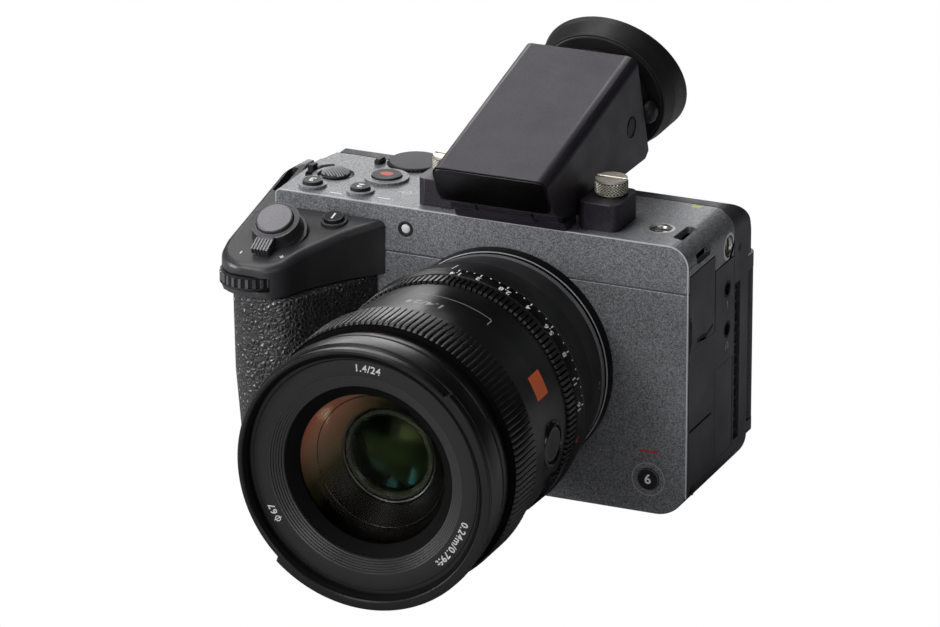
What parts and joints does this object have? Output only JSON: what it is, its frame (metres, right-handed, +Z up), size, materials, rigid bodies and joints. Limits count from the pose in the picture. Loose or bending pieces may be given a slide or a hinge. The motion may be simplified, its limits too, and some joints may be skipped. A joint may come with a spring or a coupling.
{
  "type": "cinema camera",
  "caption": "Box-shaped cinema camera with hand grip, ribbed lens, tilting electronic finder, swing-out monitor, side doors and threaded mounting points.",
  "frame": {"origin": "centre of the tripod socket's mouth on the base", "axes": "+Z up, -Y along the lens axis towards the subject, +X towards the side with the jacks, the hand grip at -X"},
  "size_m": [0.1293, 0.1795, 0.1185],
  "materials": {
    "body_paint": "fine speckled satin",
    "panel_plastic": "matte",
    "grip_leather": "pebbled",
    "deck_plastic": "satin",
    "control_plastic": "satin",
    "shutter_metal": "satin dark",
    "finder_plastic": "satin",
    "soft_rubber": "matte",
    "lens_black": "satin black",
    "name_plate": "matte",
    "mount_steel": "brushed",
    "lens_flange": "brushed",
    "nickel": "knurled nickel",
    "optic_glass": "coated",
    "screen_glass": "glossy",
    "lamp": "translucent",
    "inner_metal": "bare",
    "circuit": "laminate",
    "inner_plastic": "matte"
  },
  "bodies": {
    "camera_body": {"chassis": "inner_metal", "front_cover": "body_paint", "top_cover": "body_paint", "rear_cover": "panel_plastic", "side_panel": "panel_plastic", "base_plate": "panel_plastic", "grip_housing": "grip_leather", "grip_head": "deck_plastic", "mount_trim_ring": "lens_black", "body_mount": "mount_steel", "image_sensor": "circuit", "main_board": "circuit", "heat_sink": "inner_metal", "tripod_socket": "mount_steel", "thread_inserts": "mount_steel", "jack_sockets": "inner_plastic", "tally_lamp": "lamp", "battery": "inner_plastic", "memory_card": "inner_plastic", "finder_base": "finder_plastic", "lens_mount": "lens_flange", "lens_barrel": "lens_black", "front_barrel": "lens_black", "name_ring": "name_plate", "front_element": "optic_glass", "inner_elements": "optic_glass", "rear_element": "optic_glass"},
    "finder": {"finder_housing": "finder_plastic", "eyepiece_lens": "optic_glass", "eyecup": "soft_rubber"},
    "monitor": {"monitor_bracket": "panel_plastic", "monitor_housing": "panel_plastic", "monitor_glass": "screen_glass"},
    "shutter_button_body": {"shutter_button": "shutter_metal"},
    "button_1_body": {"button_1": "control_plastic"},
    "button_2_body": {"button_2": "control_plastic"},
    "button_3_body": {"button_3": "control_plastic"},
    "rec_button_body": {"rec_button": "control_plastic"},
    "multi_selector_body": {"multi_selector": "control_plastic"},
    "button_6_body": {"button_6": "control_plastic"},
    "lens_release_button_body": {"lens_release_button": "control_plastic"},
    "menu_button_body": {"menu_button": "control_plastic"},
    "finder_button_body": {"finder_button": "control_plastic"},
    "focus_hold_button_body": {"focus_hold_button": "control_plastic"},
    "zoom_lever_body": {"zoom_lever": "deck_plastic"},
    "front_dial_body": {"front_dial": "control_plastic"},
    "rear_dial_body": {"rear_dial": "control_plastic"},
    "power_switch_body": {"power_switch": "deck_plastic"},
    "control_wheel_body": {"control_wheel": "control_plastic"},
    "aperture_ring_body": {"aperture_ring": "lens_black"},
    "focus_ring_body": {"focus_ring": "lens_black"},
    "focus_switch_body": {"focus_switch": "control_plastic"},
    "diopter_knob_body": {"diopter_knob": "control_plastic"},
    "thumbscrew_left_body": {"thumbscrew_left": "nickel"},
    "thumbscrew_right_body": {"thumbscrew_right": "nickel"},
    "side_door_body": {"side_door": "panel_plastic"},
    "port_door_body": {"port_door": "panel_plastic"},
    "card_door_body": {"card_door": "panel_plastic"},
    "battery_door_body": {"battery_door": "panel_plastic"},
    "cooling_fan_body": {"cooling_fan": "inner_plastic"}
  },
  "joints": [
    {"name": "shutter_button_press", "type": "slide", "parent": "camera_body", "child": "shutter_button_body", "axis": [0, 0.454, -0.891], "range_m": [0, 0.0012], "stiffness_N_per_m": 400},
    {"name": "button_1_press", "type": "slide", "parent": "camera_body", "child": "button_1_body", "axis": [0, 0.2079, -0.9781], "range_m": [0, 0.0006], "stiffness_N_per_m": 400},
    {"name": "button_2_press", "type": "slide", "parent": "camera_body", "child": "button_2_body", "axis": [0, 0, -1], "range_m": [0, 0.0006], "stiffness_N_per_m": 400},
    {"name": "button_3_press", "type": "slide", "parent": "camera_body", "child": "button_3_body", "axis": [0, 0, -1], "range_m": [0, 0.0006], "stiffness_N_per_m": 400},
    {"name": "rec_button_press", "type": "slide", "parent": "camera_body", "child": "rec_button_body", "axis": [0, 0, -1], "range_m": [0, 0.0006], "stiffness_N_per_m": 400},
    {"name": "multi_selector_press", "type": "slide", "parent": "camera_body", "child": "multi_selector_body", "axis": [0, 0, -1], "range_m": [0, 0.0004], "stiffness_N_per_m": 400},
    {"name": "button_6_press", "type": "slide", "parent": "camera_body", "child": "button_6_body", "axis": [0, 1, 0], "range_m": [0, 0.0006], "stiffness_N_per_m": 400},
    {"name": "lens_release_button_press", "type": "slide", "parent": "camera_body", "child": "lens_release_button_body", "axis": [0, 1, 0], "range_m": [0, 0.001], "stiffness_N_per_m": 400},
    {"name": "menu_button_press", "type": "slide", "parent": "camera_body", "child": "menu_button_body", "axis": [0, -1, 0], "range_m": [0, 0.0006], "stiffness_N_per_m": 400},
    {"name": "finder_button_press", "type": "slide", "parent": "finder", "child": "finder_button_body", "axis": [-1, 0, 0], "range_m": [0, 0.0006], "stiffness_N_per_m": 400},
    {"name": "focus_hold_button_press", "type": "slide", "parent": "camera_body", "child": "focus_hold_button_body", "axis": [-0.9994, 0, 0.0349], "range_m": [0, 0.0008], "stiffness_N_per_m": 400},
    {"name": "zoom_lever_turn", "type": "hinge", "parent": "camera_body", "child": "zoom_lever_body", "pos_m": [-0.0619, -0.0279, 0.07144], "axis": [0, -0.454, 0.891], "range_deg": [-20, 20], "stiffness_Nm_per_rad": 0.02},
    {"name": "front_dial_turn", "type": "hinge", "parent": "camera_body", "child": "front_dial_body", "pos_m": [-0.0652, -0.0372, 0.0624], "axis": [0, 0, 1], "continuous": true},
    {"name": "rear_dial_turn", "type": "hinge", "parent": "camera_body", "child": "rear_dial_body", "pos_m": [-0.042, 0.0203, 0.08], "axis": [0, 0, 1], "continuous": true},
    {"name": "power_switch_turn", "type": "hinge", "parent": "camera_body", "child": "power_switch_body", "pos_m": [-0.0588, 0.0032, 0.079], "axis": [0, 0, 1], "range_deg": [0, 22]},
    {"name": "control_wheel_turn", "type": "hinge", "parent": "camera_body", "child": "control_wheel_body", "pos_m": [-0.048, 0.033, 0.038], "axis": [0, 1, 0], "continuous": true},
    {"name": "aperture_ring_turn", "type": "hinge", "parent": "camera_body", "child": "aperture_ring_body", "pos_m": [0, -0.0483, 0.0394], "axis": [0, -1, 0], "range_deg": [0, 102]},
    {"name": "focus_ring_turn", "type": "hinge", "parent": "camera_body", "child": "focus_ring_body", "pos_m": [0, -0.0867, 0.0394], "axis": [0, -1, 0], "continuous": true},
    {"name": "focus_switch_slide", "type": "slide", "parent": "camera_body", "child": "focus_switch_body", "axis": [-0.515, 0, -0.8572], "range_m": [0, 0.0065]},
    {"name": "finder_tilt", "type": "hinge", "parent": "camera_body", "child": "finder", "pos_m": [0.0018, -0.017, 0.0852], "axis": [1, 0, 0], "range_deg": [0, 90]},
    {"name": "diopter_knob_turn", "type": "hinge", "parent": "finder", "child": "diopter_knob_body", "pos_m": [0.0019, 0.04584, 0.09422], "axis": [1, 0, 0], "range_deg": [-150, 150]},
    {"name": "thumbscrew_left_turn", "type": "hinge", "parent": "camera_body", "child": "thumbscrew_left_body", "pos_m": [-0.0224, -0.001, 0.0868], "axis": [0, 0, 1], "continuous": true},
    {"name": "thumbscrew_right_turn", "type": "hinge", "parent": "camera_body", "child": "thumbscrew_right_body", "pos_m": [0.026, -0.001, 0.0868], "axis": [0, 0, 1], "continuous": true},
    {"name": "monitor_swing", "type": "hinge", "parent": "camera_body", "child": "monitor", "pos_m": [0.0507, 0.0349, 0.035], "axis": [0, 0, -1], "range_deg": [0, 176]},
    {"name": "side_door_swing", "type": "hinge", "parent": "camera_body", "child": "side_door_body", "pos_m": [0.0534, 0.0058, 0.059], "axis": [0, 0, 1], "range_deg": [0, 100]},
    {"name": "port_door_swing", "type": "hinge", "parent": "camera_body", "child": "port_door_body", "pos_m": [0.0534, 0.01925, 0.0228], "axis": [0, 0, 1], "range_deg": [0, 90]},
    {"name": "card_door_swing", "type": "hinge", "parent": "camera_body", "child": "card_door_body", "pos_m": [-0.0662, 0.01835, 0.041], "axis": [0, 0, -1], "range_deg": [0, 95]},
    {"name": "battery_door_swing", "type": "hinge", "parent": "camera_body", "child": "battery_door_body", "pos_m": [-0.0446, -0.004, 0.00085], "axis": [0, -1, 0], "range_deg": [0, 95]},
    {"name": "cooling_fan_spin", "type": "hinge", "parent": "camera_body", "child": "cooling_fan_body", "pos_m": [0.033, 0.0154, 0.034], "axis": [0, 1, 0], "continuous": true}
  ]
}
